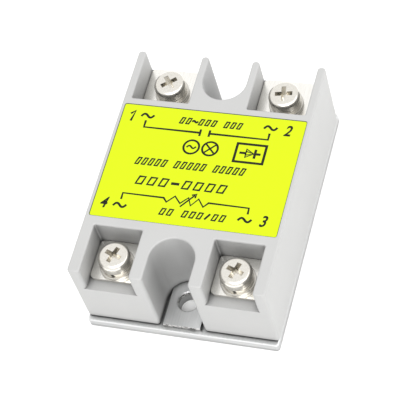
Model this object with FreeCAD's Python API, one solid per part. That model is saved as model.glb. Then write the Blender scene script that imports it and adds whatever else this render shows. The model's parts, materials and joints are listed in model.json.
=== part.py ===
import FreeCAD, Part
import math
import os
from collections import namedtuple

# Panel-mount solid state relay, all sizes in millimetres.
# Origin: centre of the underside of the metal base plate. +Z is up.
# +Y is the load end (terminals 1 and 2), -Y the control end (terminals 3 and 4).
# The left terminals (1 and 4) are at -X.

V = FreeCAD.Vector

# ---------------------------------------------------------------- moulded case
CASE_WIDTH = 45.0
CASE_LENGTH = 60.0
CASE_HEIGHT = 20.0
SIDE_WALL = 2.0
END_WALL = 2.0
ROOF = 2.0
INNER_WALL = 1.5           # between a terminal pocket and the main cavity
SHELF = 2.0                # floor of a terminal pocket
SHELF_DEPTH = 7.4          # from the case top down to the pocket floor
CORNER_RADIUS = 0.8        # upright corners of the case and its fins
POCKET_RADIUS = 0.35       # upright inner corners of the pockets
TOP_FILLET = 0.45
POST_SIDE = 2.2            # corner posts that the circuit board rests against

# ---------------------------------------------------------------- mounting notches
MOUNT_INSET = 6.2          # hole centre to the end face of the case
NOTCH_RADIUS = 5.2

# ---------------------------------------------------------------- base plate
PLATE_THICKNESS = 2.5
PLATE_OVERHANG = 1.25      # beyond each end face of the case
PLATE_SIDE_INSET = 0.1
PLATE_CORNER_RADIUS = 0.7
PLATE_EDGE_CHAMFER = 0.25
LAND_RISE = 1.1            # thicker middle of the plate
TONGUE_GAP = 0.85          # land's tongue to the side of the notch
TONGUE_SETBACK = 1.1       # tongue's tip to the plate's end
MOUNT_HOLE_DIAMETER = 4.8
MOUNT_HOLE_CHAMFER = 0.25

# ---------------------------------------------------------------- face label
LABEL_WIDTH = 43.0
LABEL_THICKNESS = 0.15
LABEL_RADIUS = 0.4
LABEL_END_MARGIN = 1.85    # label to the load pocket's inner wall
LABEL_CONTROL_MARGIN = 2.3
RECESS_DEPTH = 0.25
RECESS_GAP = 0.15

# ---------------------------------------------------------------- terminal hardware
SCREW_DIAMETER = 4.0
SCREW_LENGTH = 8.0
THREAD_PITCH = 0.7
SCREW_TRAVEL_TURNS = 5
HEAD_DIAMETER = 7.3
HEAD_HEIGHT = 2.7
HEAD_SHOULDER = 1.0        # radius of the pan head's rounded shoulder
RECESS_SPAN = 4.2          # cross recess, tip to tip
RECESS_ARM = 1.1
RECESS_SINK = 1.5
RECESS_FLOOR_SPAN = 2.1
RECESS_FLOOR_ARM = 0.77
SCREW_POINT = 0.5
SPRING_WASHER_DIAMETER = 6.8
SPRING_WASHER_THICKNESS = 1.0
SPRING_WASHER_SPLIT = 0.7
SPLIT_SLANT = 25.0         # degrees
FLAT_WASHER_DIAMETER = 8.0
FLAT_WASHER_THICKNESS = 0.8
NUT_SIDE = 7.0
NUT_THICKNESS = 2.2
NUT_CHAMFER = 0.4          # round the nut's bore
NUT_CORNER_CHAMFER = 0.2
BAR_THICKNESS = 0.8
BAR_CORNER_RADIUS = 1.2
BAR_NECK = 7.0             # width where the bar passes the pocket's inner wall
BAR_LEG = 3.0              # width of the leg that is soldered to the board
BAR_BEND = 0.6             # inside radius
LEG_STANDOFF = 0.4         # board left between a leg's slot and the board's edge
BOSS_WALL = 1.5
BOSS_TIP_WALL = 1.2

# ---------------------------------------------------------------- circuit board
BOARD_THICKNESS = 1.6
BOARD_LIFT = 6.4           # board's underside above the plate's land
LEAD_PROTRUSION = 1.0
LEAD_DIAMETER = 0.6
LEAD_HOLE_DIAMETER = 1.0

# ---------------------------------------------------------------- triac
PAD_THICKNESS = 0.2
PAD_MARGIN = 0.6
TAB_THICKNESS = 1.5
TAB_WIDTH = 13.6
TRIAC_WIDTH = 15.6
TRIAC_LENGTH = 19.9
TRIAC_HEIGHT = 4.8
TRIAC_EDGE_CHAMFER = 0.5
TAB_COVER = 1.0            # plastic between the tab's end and the leads
TRIAC_SHIFT = -2.2         # middle of its body along Y
TRIAC_HOLE_INSET = 3.7
TRIAC_LEAD_PITCH = 5.45
TRIAC_LEAD_WIDTH = 1.2
TRIAC_LEAD_THICKNESS = 0.6
TRIAC_LEAD_REACH = 2.2
FIXING_DIAMETER = 3.0
FIXING_LENGTH = 5.0
FIXING_HEAD_DIAMETER = 5.5
FIXING_HEAD_HEIGHT = 2.0
FIXING_HEAD_SHOULDER = 0.6
FIXING_WEB = 1.0           # plastic under the fixing screw's head
POTTING_DEPTH = 3.4

# ---------------------------------------------------------------- clearances
SEAT_GAP = 0.02            # flat faces that bear on each other
THREAD_CLEARANCE = 0.05    # radial, screw in nut
WASHER_CLEARANCE = 0.15    # radial, screw in washers
SCREW_HOLE_CLEARANCE = 0.4 # radial, screw in bar and boss
NUT_CLEARANCE = 0.15
BAR_CLEARANCE = 0.1
LAND_CLEARANCE = 0.3
BOARD_CLEARANCE = 0.3
SLOT_CLEARANCE = 0.2
POTTING_CLEARANCE = 0.05
ACCESS_CLEARANCE = 0.75    # radial, fixing screw's head in the board
OVERRUN = 1.0              # how far a cut goes past the face it opens
SAME = 1e-4                # coordinates this close count as equal

# ---------------------------------------------------------------- levels above the plate's underside
CASE_BOTTOM = PLATE_THICKNESS
CASE_TOP = CASE_BOTTOM + CASE_HEIGHT
LAND_TOP = PLATE_THICKNESS + LAND_RISE
SHELF_TOP = CASE_TOP - SHELF_DEPTH
SHELF_UNDER = SHELF_TOP - SHELF
CEILING = CASE_TOP - ROOF
BAR_TOP = SHELF_TOP + BAR_THICKNESS
FLAT_WASHER_BOTTOM = BAR_TOP + SEAT_GAP
SPRING_WASHER_BOTTOM = FLAT_WASHER_BOTTOM + FLAT_WASHER_THICKNESS
HEAD_BOTTOM = SPRING_WASHER_BOTTOM + SPRING_WASHER_THICKNESS + SEAT_GAP
SCREW_TIP = HEAD_BOTTOM - SCREW_LENGTH
NUT_TOP = SHELF_TOP - SEAT_GAP
NUT_POCKET_FLOOR = SHELF_TOP - NUT_THICKNESS - 2 * SEAT_GAP
BOSS_SHOULDER = NUT_POCKET_FLOOR - BOSS_WALL
BOSS_HOLE_BOTTOM = SCREW_TIP - SCREW_HOLE_CLEARANCE
BOSS_BOTTOM = BOSS_HOLE_BOTTOM - BOSS_TIP_WALL
BOARD_BOTTOM = LAND_TOP + BOARD_LIFT
BOARD_TOP = BOARD_BOTTOM + BOARD_THICKNESS
LEAD_BOTTOM = BOARD_BOTTOM - LEAD_PROTRUSION
TAB_BOTTOM = LAND_TOP + PAD_THICKNESS
TRIAC_TOP = TAB_BOTTOM + TRIAC_HEIGHT
FIXING_SEAT = TAB_BOTTOM + TAB_THICKNESS + FIXING_WEB
FIXING_TIP = FIXING_SEAT - FIXING_LENGTH

# ---------------------------------------------------------------- the two ends
# side: +1 at the load end, -1 at the control end.
End = namedtuple("End", "side outer_wall fin pocket_length screw_inset bar_setback")
LOAD = End(side=1, outer_wall=1.9, fin=1.75, pocket_length=13.3, screw_inset=6.8, bar_setback=0.3)
CONTROL = End(side=-1, outer_wall=2.85, fin=3.1, pocket_length=12.4, screw_inset=6.5, bar_setback=2.5)
ENDS = (LOAD, CONTROL)

# Terminal number: its end and the sign of its X.
TERMINALS = {1: (LOAD, -1), 2: (LOAD, 1), 3: (CONTROL, 1), 4: (CONTROL, -1)}

# ---------------------------------------------------------------- parts on the board
# Upright parts: centre x and y, size in x, y and z, and pin spacing in x.
UprightPart = namedtuple("UprightPart", "x y length width height pins")
SNUBBER_CAPACITOR = UprightPart(x=-9.0, y=4.4, length=13.0, width=5.0, height=8.2, pins=10.0)
TIMING_CAPACITOR = UprightPart(x=12.0, y=-8.2, length=7.2, width=3.5, height=7.0, pins=5.0)
VARISTOR = UprightPart(x=12.6, y=6.0, length=7.0, width=3.6, height=8.0, pins=5.0)
VARISTOR_EDGE = 0.9
CAPACITOR_EDGE = 0.4

# Lying parts: centre x and y, body length and diameter, and lead spacing in x.
LyingPart = namedtuple("LyingPart", "x y length diameter pins")
SNUBBER_RESISTOR = LyingPart(x=-9.5, y=-1.6, length=9.0, diameter=3.2, pins=12.7)
GATE_RESISTOR = LyingPart(x=-10.0, y=-6.4, length=6.3, diameter=2.3, pins=10.16)
LIMIT_RESISTOR = LyingPart(x=-10.0, y=-10.4, length=6.3, diameter=2.3, pins=10.16)
TRIGGER_DIAC = LyingPart(x=10.6, y=-2.4, length=4.2, diameter=1.9, pins=7.62)
BODY_LIFT = 0.3            # lying body above the board
BODY_END_RADIUS = 0.5


# ================================================================ shape helpers
def box(x, y, z):
    """A box from three (low, high) pairs, given in either order."""
    (x0, x1), (y0, y1), (z0, z1) = sorted(x), sorted(y), sorted(z)
    return Part.makeBox(x1 - x0, y1 - y0, z1 - z0, V(x0, y0, z0))


def cylinder(x, y, z, diameter):
    """An upright cylinder between the two heights in z."""
    z0, z1 = sorted(z)
    return Part.makeCylinder(diameter / 2, z1 - z0, V(x, y, z0))


def cone(x, y, z, diameters):
    """An upright cone frustum; diameters are at the lower and upper height."""
    z0, z1 = z
    return Part.makeCone(diameters[0] / 2, diameters[1] / 2, z1 - z0, V(x, y, z0))


def union(shapes):
    """All the shapes as one solid, with no seams left between them."""
    shapes = list(shapes)
    return shapes[0].multiFuse(shapes[1:]).removeSplitter()


def solid(shape):
    """The single solid inside a boolean result."""
    if len(shape.Solids) != 1:
        raise ValueError("expected one solid, found %d" % len(shape.Solids))
    return shape.Solids[0]


def upright_edges(shape, keep):
    """Straight edges along Z whose (x, y) passes the test."""
    found = []
    for edge in shape.Edges:
        if isinstance(edge.Curve, Part.Line) and abs(edge.Curve.Direction.z) > 0.999:
            point = edge.Vertexes[0].Point
            if keep(point.x, point.y):
                found.append(edge)
    return found


def level_edges(shape, z):
    """Edges that lie wholly at one height."""
    return [edge for edge in shape.Edges
            if abs(edge.BoundBox.ZMin - z) < SAME and abs(edge.BoundBox.ZMax - z) < SAME]


def rounded_box(x, y, z, radius):
    """A box with its four upright corners rounded."""
    plain = box(x, y, z)
    return plain.makeFillet(radius, upright_edges(plain, lambda px, py: True))


def save(name, shape):
    """Write one node."""
    shape.exportStep("parts/%s.step" % name)


# ================================================================ places shared by several parts
def end_y(end, inset):
    """The y of the plane this far inside the case's end face."""
    return end.side * (CASE_LENGTH / 2 - inset)


def pocket_span(end):
    """Nearest and furthest x of a pocket at this end, on the +X side."""
    return NOTCH_RADIUS + end.fin, CASE_WIDTH / 2 - end.outer_wall


def screw_place(end, sign):
    """Axis of a terminal screw: the middle of its pocket."""
    near, far = pocket_span(end)
    return sign * (near + far) / 2, end_y(end, end.screw_inset)


def cavity_end(end):
    """The y where the main cavity stops."""
    return end_y(end, end.pocket_length + INNER_WALL)


def leg_face(end):
    """The y of the bar leg's face that is nearer to the pocket."""
    return cavity_end(end) - end.side * (BOARD_CLEARANCE + 2 * SLOT_CLEARANCE + LEG_STANDOFF)


def notch_outline(end, radius, z, overrun):
    """An upright U-shaped prism round the mounting screw, open at the end."""
    y = end_y(end, MOUNT_INSET)
    return union([
        cylinder(0, y, z, 2 * radius),
        box((-radius, radius), (y, end_y(end, -overrun)), z),
    ])


def lower_cavity(clearance, z):
    """The room under the roof and the shelves, less the walls round the notches."""
    half = CASE_WIDTH / 2 - SIDE_WALL - clearance
    room = box((-half, half), (end_y(CONTROL, END_WALL + clearance), end_y(LOAD, END_WALL + clearance)), z)
    for end in ENDS:
        room = room.cut(notch_outline(end, NOTCH_RADIUS + end.fin + clearance, z, OVERRUN))
    return room


# ================================================================ base plate
def base_plate():
    """Pressed aluminium plate: a flange, a raised land, a hole and an open slot."""
    half_width = CASE_WIDTH / 2 - PLATE_SIDE_INSET
    half_length = CASE_LENGTH / 2 + PLATE_OVERHANG
    tongue = NOTCH_RADIUS - TONGUE_GAP
    flange = rounded_box((-half_width, half_width), (-half_length, half_length),
                         (0, PLATE_THICKNESS), PLATE_CORNER_RADIUS)
    rims = level_edges(flange, 0) + level_edges(flange, PLATE_THICKNESS)
    flange = flange.makeChamfer(PLATE_EDGE_CHAMFER, rims)
    rise = (PLATE_THICKNESS - PLATE_EDGE_CHAMFER, LAND_TOP)
    land = lower_cavity(LAND_CLEARANCE, rise)
    tip = half_length - TONGUE_SETBACK
    plate = union([flange, land, box((-tongue, tongue), (-tip, tip), rise)])

    hole_y = end_y(CONTROL, MOUNT_INSET)
    rim = MOUNT_HOLE_DIAMETER + 2 * MOUNT_HOLE_CHAMFER
    plate = plate.cut(cylinder(0, hole_y, (-OVERRUN, LAND_TOP + OVERRUN), MOUNT_HOLE_DIAMETER))
    plate = plate.cut(cone(0, hole_y, (LAND_TOP - MOUNT_HOLE_CHAMFER, LAND_TOP),
                           (MOUNT_HOLE_DIAMETER, rim)))
    slot_y = end_y(LOAD, MOUNT_INSET)
    slot = MOUNT_HOLE_DIAMETER / 2
    plate = plate.cut(cylinder(0, slot_y, (-OVERRUN, LAND_TOP + OVERRUN), MOUNT_HOLE_DIAMETER))
    plate = plate.cut(box((-slot, slot), (slot_y, half_length + OVERRUN), (-OVERRUN, LAND_TOP + OVERRUN)))

    fixing = FIXING_DIAMETER + 2 * THREAD_CLEARANCE
    plate = plate.cut(cylinder(0, triac_hole_y(), (FIXING_TIP - SEAT_GAP, LAND_TOP + OVERRUN), fixing))
    return solid(plate)


# ================================================================ case
def case_block():
    """Outside of the case with its notches and pockets, edges rounded."""
    half_width, half_length = CASE_WIDTH / 2, CASE_LENGTH / 2
    block = box((-half_width, half_width), (-half_length, half_length), (CASE_BOTTOM, CASE_TOP))
    through = (CASE_BOTTOM - OVERRUN, CASE_TOP + OVERRUN)
    for end in ENDS:
        block = block.cut(notch_outline(end, NOTCH_RADIUS, through, OVERRUN))
        near, far = pocket_span(end)
        pocket_y = (end_y(end, end.pocket_length), end_y(end, -POCKET_RADIUS - OVERRUN))
        for sign in (-1, 1):
            block = block.cut(rounded_box((sign * near, sign * far), pocket_y,
                                          (SHELF_TOP, CASE_TOP + OVERRUN), POCKET_RADIUS))
    block = block.removeSplitter()
    tips = upright_edges(block, lambda x, y: abs(abs(y) - half_length) < SAME)
    block = block.makeFillet(CORNER_RADIUS, tips)
    return block.makeFillet(TOP_FILLET, level_edges(block, CASE_TOP))


def nut_boss(end, sign):
    """The block under a pocket's floor that holds the nut and the screw's end."""
    x, y = screw_place(end, sign)
    half = NUT_SIDE / 2 + NUT_CLEARANCE + BOSS_WALL
    post = SCREW_DIAMETER + 2 * (SCREW_HOLE_CLEARANCE + BOSS_WALL)
    return union([
        box((x - half, x + half), (y - half, y + half), (BOSS_SHOULDER, SHELF_UNDER)),
        cylinder(x, y, (BOSS_BOTTOM, BOSS_SHOULDER), post),
    ])


def nut_room(end, sign):
    """What is cut from a pocket's floor and boss for the nut and the screw."""
    x, y = screw_place(end, sign)
    half = NUT_SIDE / 2 + NUT_CLEARANCE
    return union([
        box((x - half, x + half), (y - half, y + half), (NUT_POCKET_FLOOR, SHELF_TOP + OVERRUN)),
        cylinder(x, y, (BOSS_HOLE_BOTTOM, NUT_POCKET_FLOOR), SCREW_DIAMETER + 2 * SCREW_HOLE_CLEARANCE),
    ])


def bar_passage(end, sign):
    """The slot through a pocket's inner wall for the terminal bar's neck."""
    x, _ = screw_place(end, sign)
    half = BAR_NECK / 2 + BAR_CLEARANCE
    wall = (end_y(end, end.pocket_length - OVERRUN), end_y(end, end.pocket_length + INNER_WALL + OVERRUN))
    return box((x - half, x + half), wall, (SHELF_TOP, BAR_TOP + BAR_CLEARANCE))


def board_posts():
    """Four posts in the corners of the main cavity."""
    side = CASE_WIDTH / 2 - SIDE_WALL
    return [box((sign * side, sign * (side - POST_SIDE)),
                (cavity_end(end), cavity_end(end) - end.side * POST_SIDE),
                (BOARD_TOP, CEILING))
            for end in ENDS for sign in (-1, 1)]


def label_span():
    """Low and high y of the label."""
    return (end_y(CONTROL, CONTROL.pocket_length + LABEL_CONTROL_MARGIN),
            end_y(LOAD, LOAD.pocket_length + LABEL_END_MARGIN))


def housing():
    """The moulded case, open underneath."""
    side = CASE_WIDTH / 2 - SIDE_WALL
    below = CASE_BOTTOM - OVERRUN
    case = case_block()
    case = case.cut(box((-side, side), (cavity_end(CONTROL), cavity_end(LOAD)), (below, CEILING)))
    case = case.cut(lower_cavity(0, (below, SHELF_UNDER)))
    places = list(TERMINALS.values())
    case = union([case] + [nut_boss(*place) for place in places] + board_posts())
    for place in places:
        case = case.cut(nut_room(*place))
        case = case.cut(bar_passage(*place))

    tongue = NOTCH_RADIUS - TONGUE_GAP + LAND_CLEARANCE
    case = case.cut(box((-tongue, tongue), (-CASE_LENGTH / 2 - OVERRUN, CASE_LENGTH / 2 + OVERRUN),
                        (below, LAND_TOP + SLOT_CLEARANCE)))
    half = LABEL_WIDTH / 2 + RECESS_GAP
    low, high = label_span()
    recess = rounded_box((-half, half), (low - RECESS_GAP, high + RECESS_GAP),
                         (CASE_TOP - RECESS_DEPTH, CASE_TOP + OVERRUN), LABEL_RADIUS + RECESS_GAP)
    return solid(case.cut(recess).removeSplitter())


def face_label():
    """Printed plastic film in the recess of the case's roof."""
    bottom = CASE_TOP - RECESS_DEPTH
    return rounded_box((-LABEL_WIDTH / 2, LABEL_WIDTH / 2), label_span(),
                       (bottom, bottom + LABEL_THICKNESS), LABEL_RADIUS)


# ================================================================ terminals
def terminal_bar(end, sign):
    """Plated brass bar: a pad in the pocket, a neck through the wall and a leg to the board."""
    x, y = screw_place(end, sign)
    near, far = pocket_span(end)
    pad_x = (sign * (near + BAR_CLEARANCE), sign * (far - BAR_CLEARANCE))
    pad_y = (end_y(end, end.pocket_length - BAR_CLEARANCE), end_y(end, end.bar_setback))
    pad = rounded_box(pad_x, pad_y, (SHELF_TOP, BAR_TOP), BAR_CORNER_RADIUS)

    outer = leg_face(end)
    inner = outer - end.side * BAR_THICKNESS
    neck = box((x - BAR_NECK / 2, x + BAR_NECK / 2), (pad_y[0] + end.side * BAR_CORNER_RADIUS, inner),
               (SHELF_TOP, BAR_TOP))
    leg = box((x - BAR_LEG / 2, x + BAR_LEG / 2), (outer, inner), (LEAD_BOTTOM, BAR_TOP))
    bar = union([pad, neck, leg])
    bends = [edge for edge in bar.Edges
             if abs(edge.BoundBox.YMin - outer) < SAME and abs(edge.BoundBox.YMax - outer) < SAME
             and abs(edge.BoundBox.ZMin - SHELF_TOP) < SAME and edge.BoundBox.ZLength < SAME
             and edge.Length < BAR_LEG + SAME]
    bar = bar.makeFillet(BAR_BEND, bends)
    crowns = [edge for edge in level_edges(bar, BAR_TOP)
              if abs(edge.BoundBox.YMin - inner) < SAME and abs(edge.BoundBox.YMax - inner) < SAME]
    bar = bar.makeFillet(BAR_BEND, crowns)
    hole = SCREW_DIAMETER + 2 * SCREW_HOLE_CLEARANCE
    return solid(bar.cut(cylinder(x, y, (SHELF_TOP - OVERRUN, BAR_TOP + OVERRUN), hole)))


def terminal_nut(end, sign):
    """Square nut held in the boss, its thread given by its bore."""
    x, y = screw_place(end, sign)
    half = NUT_SIDE / 2
    bore = SCREW_DIAMETER + 2 * THREAD_CLEARANCE
    nut = box((x - half, x + half), (y - half, y + half), (NUT_TOP - NUT_THICKNESS, NUT_TOP))
    nut = nut.makeChamfer(NUT_CORNER_CHAMFER, upright_edges(nut, lambda px, py: True))
    nut = nut.cut(cylinder(x, y, (NUT_TOP - NUT_THICKNESS - OVERRUN, NUT_TOP + OVERRUN), bore))
    return solid(nut.cut(cone(x, y, (NUT_TOP - NUT_CHAMFER, NUT_TOP), (bore, bore + 2 * NUT_CHAMFER))))


def washer_ring(end, sign, bottom, thickness, diameter):
    """A flat ring round a terminal screw."""
    x, y = screw_place(end, sign)
    bore = SCREW_DIAMETER + 2 * WASHER_CLEARANCE
    ring = cylinder(x, y, (bottom, bottom + thickness), diameter)
    return ring.cut(cylinder(x, y, (bottom - OVERRUN, bottom + thickness + OVERRUN), bore))


def flat_washer(end, sign):
    """Round washer that presses the wire down on the bar."""
    return solid(washer_ring(end, sign, FLAT_WASHER_BOTTOM, FLAT_WASHER_THICKNESS, FLAT_WASHER_DIAMETER))


def spring_washer(end, sign):
    """Split lock washer, squeezed flat under the head, with its slanted split facing outwards."""
    x, y = screw_place(end, sign)
    ring = washer_ring(end, sign, SPRING_WASHER_BOTTOM, SPRING_WASHER_THICKNESS, SPRING_WASHER_DIAMETER)
    middle = SPRING_WASHER_BOTTOM + SPRING_WASHER_THICKNESS / 2
    half = SPRING_WASHER_THICKNESS / 2 + OVERRUN
    split = box((x - SPRING_WASHER_SPLIT / 2, x + SPRING_WASHER_SPLIT / 2),
                (y, y + end.side * SPRING_WASHER_DIAMETER), (middle - half, middle + half))
    split.rotate(V(x, y, middle), V(0, 1, 0), SPLIT_SLANT)
    return solid(ring.cut(split))


def cross_arm(x, y, top, along_x):
    """One tapered arm of a cross recess, narrower at its floor."""
    wires = []
    for z, span, arm in ((top, RECESS_SPAN, RECESS_ARM),
                         (top - RECESS_SINK, RECESS_FLOOR_SPAN, RECESS_FLOOR_ARM)):
        half_x, half_y = (span / 2, arm / 2) if along_x else (arm / 2, span / 2)
        corners = [V(x - half_x, y - half_y, z), V(x + half_x, y - half_y, z),
                   V(x + half_x, y + half_y, z), V(x - half_x, y + half_y, z)]
        wires.append(Part.makePolygon(corners + corners[:1]))
    return Part.makeLoft(wires, True)


def pan_screw(x, y, seat, length, diameter, head_diameter, head_height, shoulder):
    """Pan-head screw with a cross recess, seat at the given height, tip down."""
    head = cylinder(x, y, (seat, seat + head_height), head_diameter)
    head = head.makeFillet(shoulder, level_edges(head, seat + head_height))
    point = cone(x, y, (seat - length, seat - length + SCREW_POINT), (diameter - 2 * SCREW_POINT, diameter))
    shank = cylinder(x, y, (seat - length + SCREW_POINT, seat), diameter)
    screw = union([head, shank, point])
    top = seat + head_height
    return solid(screw.cut(union([cross_arm(x, y, top, True), cross_arm(x, y, top, False)])))


def terminal_screw(end, sign):
    """Terminal screw, its thread given by its outside diameter."""
    x, y = screw_place(end, sign)
    return pan_screw(x, y, HEAD_BOTTOM, SCREW_LENGTH, SCREW_DIAMETER,
                     HEAD_DIAMETER, HEAD_HEIGHT, HEAD_SHOULDER)


# ================================================================ power device
def triac_span():
    """Low and high y of the triac's body."""
    return TRIAC_SHIFT - TRIAC_LENGTH / 2, TRIAC_SHIFT + TRIAC_LENGTH / 2


def triac_hole_y():
    """The y of the triac's fixing hole."""
    return triac_span()[0] + TRIAC_HOLE_INSET


def triac_lead_xs():
    """The x of each of the triac's three leads."""
    return [step * TRIAC_LEAD_PITCH for step in (-1, 0, 1)]


def fixing_bore(z):
    """Clearance hole for the triac's fixing screw."""
    return cylinder(0, triac_hole_y(), z, FIXING_DIAMETER + 2 * WASHER_CLEARANCE)


def thermal_pad():
    """Insulating pad between the triac and the plate."""
    low, high = triac_span()
    half = TRIAC_WIDTH / 2 + PAD_MARGIN
    pad = box((-half, half), (low - PAD_MARGIN, high + PAD_MARGIN), (LAND_TOP, TAB_BOTTOM))
    return solid(pad.cut(fixing_bore((LAND_TOP - OVERRUN, TAB_BOTTOM + OVERRUN))))


def triac_tab():
    """Copper tab on the triac's underside."""
    low, high = triac_span()
    z = (TAB_BOTTOM, TAB_BOTTOM + TAB_THICKNESS)
    tab = box((-TAB_WIDTH / 2, TAB_WIDTH / 2), (low + SLOT_CLEARANCE, high - TAB_COVER), z)
    return solid(tab.cut(fixing_bore((z[0] - OVERRUN, z[1] + OVERRUN))))


def triac_case():
    """Moulded body of the triac, sunk round its fixing screw."""
    low, high = triac_span()
    half = TRIAC_WIDTH / 2
    body = box((-half, half), (low, high), (TAB_BOTTOM, TRIAC_TOP))
    body = body.makeChamfer(TRIAC_EDGE_CHAMFER, level_edges(body, TRIAC_TOP))
    body = body.cut(box((-TAB_WIDTH / 2, TAB_WIDTH / 2), (low - OVERRUN, high - TAB_COVER),
                        (TAB_BOTTOM - OVERRUN, TAB_BOTTOM + TAB_THICKNESS)))
    body = body.cut(fixing_bore((TAB_BOTTOM, TRIAC_TOP + OVERRUN)))
    sunk = FIXING_HEAD_DIAMETER + 2 * SCREW_HOLE_CLEARANCE
    return solid(body.cut(cylinder(0, triac_hole_y(), (FIXING_SEAT, TRIAC_TOP + OVERRUN), sunk)))


def triac_lead(x):
    """One flat lead that leaves the body and turns up through the board."""
    _, body_end = triac_span()
    half = TRIAC_LEAD_WIDTH / 2
    level = TAB_BOTTOM + TRIAC_HEIGHT / 2
    out = body_end + TRIAC_LEAD_REACH
    thick = TRIAC_LEAD_THICKNESS
    run = box((x - half, x + half), (body_end, out), (level, level + thick))
    rise = box((x - half, x + half), (out - thick, out), (level, BOARD_TOP + LEAD_PROTRUSION))
    return solid(union([run, rise]))


def triac_leads():
    """The three leads, one solid each."""
    return Part.makeCompound([triac_lead(x) for x in triac_lead_xs()])


def triac_screw():
    """Screw that holds the triac down on the plate."""
    return pan_screw(0, triac_hole_y(), FIXING_SEAT, FIXING_LENGTH - 2 * SEAT_GAP, FIXING_DIAMETER,
                     FIXING_HEAD_DIAMETER, FIXING_HEAD_HEIGHT, FIXING_HEAD_SHOULDER)


def potting_compound():
    """Resin poured over the plate, round the triac and under the bosses."""
    z = (LAND_TOP, LAND_TOP + POTTING_DEPTH)
    fill = lower_cavity(LAND_CLEARANCE, z)
    low, high = triac_span()
    half = TRIAC_WIDTH / 2 + PAD_MARGIN + POTTING_CLEARANCE
    reach = PAD_MARGIN + POTTING_CLEARANCE
    fill = fill.cut(box((-half, half), (low - reach, high + reach), z))
    for x in triac_lead_xs():
        lead = TRIAC_LEAD_WIDTH / 2 + POTTING_CLEARANCE
        fill = fill.cut(box((x - lead, x + lead), (high, high + TRIAC_LEAD_REACH + POTTING_CLEARANCE),
                            (TAB_BOTTOM + TRIAC_HEIGHT / 2 - POTTING_CLEARANCE, z[1])))
    for end, sign in TERMINALS.values():
        x, y = screw_place(end, sign)
        post = SCREW_DIAMETER + 2 * (SCREW_HOLE_CLEARANCE + BOSS_WALL + POTTING_CLEARANCE)
        fill = fill.cut(cylinder(x, y, (BOSS_BOTTOM - POTTING_CLEARANCE, BOSS_SHOULDER), post))
    return solid(fill)


# ================================================================ circuit board and its parts
UPRIGHT_PARTS = {
    "snubber_capacitor": SNUBBER_CAPACITOR,
    "timing_capacitor": TIMING_CAPACITOR,
    "varistor": VARISTOR,
}
LYING_PARTS = {
    "snubber_resistor": SNUBBER_RESISTOR,
    "gate_resistor": GATE_RESISTOR,
    "limit_resistor": LIMIT_RESISTOR,
    "trigger_diac": TRIGGER_DIAC,
}


def pin_places(part):
    """The two (x, y) places where a part's leads pass through the board."""
    return [(part.x - part.pins / 2, part.y), (part.x + part.pins / 2, part.y)]


def circuit_board():
    """The board, drilled for every lead, slotted for the bars and open above the fixing screw."""
    side = CASE_WIDTH / 2 - SIDE_WALL - BOARD_CLEARANCE
    ends = [cavity_end(end) - end.side * BOARD_CLEARANCE for end in ENDS]
    board = box((-side, side), ends, (BOARD_BOTTOM, BOARD_TOP))
    through = (BOARD_BOTTOM - OVERRUN, BOARD_TOP + OVERRUN)
    cuts = [cylinder(0, triac_hole_y(), through, FIXING_HEAD_DIAMETER + 2 * ACCESS_CLEARANCE)]
    for part in list(UPRIGHT_PARTS.values()) + list(LYING_PARTS.values()):
        cuts += [cylinder(x, y, through, LEAD_HOLE_DIAMETER) for x, y in pin_places(part)]
    _, body_end = triac_span()
    for x in triac_lead_xs():
        half = TRIAC_LEAD_WIDTH / 2 + SLOT_CLEARANCE
        out = body_end + TRIAC_LEAD_REACH
        lead_y = (out - TRIAC_LEAD_THICKNESS - SLOT_CLEARANCE, out + SLOT_CLEARANCE)
        cuts.append(box((x - half, x + half), lead_y, through))
    for end, sign in TERMINALS.values():
        x, _ = screw_place(end, sign)
        half = BAR_LEG / 2 + SLOT_CLEARANCE
        outer = leg_face(end) + end.side * SLOT_CLEARANCE
        inner = leg_face(end) - end.side * (BAR_THICKNESS + SLOT_CLEARANCE)
        cuts.append(box((x - half, x + half), (outer, inner), through))
    return solid(board.cut(Part.makeCompound(cuts)))


def upright_body(part, edge):
    """Block-shaped body of an upright part, standing on the board."""
    body = box((part.x - part.length / 2, part.x + part.length / 2),
               (part.y - part.width / 2, part.y + part.width / 2), (BOARD_TOP, BOARD_TOP + part.height))
    return body.makeFillet(edge, [e for e in body.Edges if e.BoundBox.ZMax > BOARD_TOP + SAME])


def varistor_body(part):
    """Disc-shaped body standing on edge."""
    radius = part.length / 2
    centre = V(part.x, part.y - part.width / 2, BOARD_TOP + part.height - radius)
    disc = Part.makeCylinder(radius, part.width, centre, V(0, 1, 0))
    return disc.makeFillet(VARISTOR_EDGE, [e for e in disc.Edges if isinstance(e.Curve, Part.Circle)])


def upright_leads(part, top):
    """Two straight leads down through the board."""
    return Part.makeCompound([cylinder(x, y, (LEAD_BOTTOM, top), LEAD_DIAMETER) for x, y in pin_places(part)])


def lying_body(part):
    """Round body lying just above the board."""
    level = BOARD_TOP + BODY_LIFT + part.diameter / 2
    start = V(part.x - part.length / 2, part.y, level)
    body = Part.makeCylinder(part.diameter / 2, part.length, start, V(1, 0, 0))
    return body.makeFillet(BODY_END_RADIUS, [e for e in body.Edges if isinstance(e.Curve, Part.Circle)])


def lying_leads(part):
    """Two leads that leave the body's ends and turn down through the board."""
    level = BOARD_TOP + BODY_LIFT + part.diameter / 2
    leads = []
    for sign, (x, y) in zip((-1, 1), pin_places(part)):
        root = part.x + sign * part.length / 2
        run = Part.makeCylinder(LEAD_DIAMETER / 2, abs(x - root), V(min(x, root), y, level), V(1, 0, 0))
        elbow = Part.makeSphere(LEAD_DIAMETER / 2, V(x, y, level))
        leads.append(solid(union([run, elbow, cylinder(x, y, (LEAD_BOTTOM, level), LEAD_DIAMETER)])))
    return Part.makeCompound(leads)


def varistor_leads(part):
    """Two leads that end just inside the disc's underside, trimmed to its surface."""
    radius = part.length / 2
    middle = BOARD_TOP + part.height - radius
    return Part.makeCompound(upright_leads(part, middle).cut(varistor_body(part)).Solids)


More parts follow.
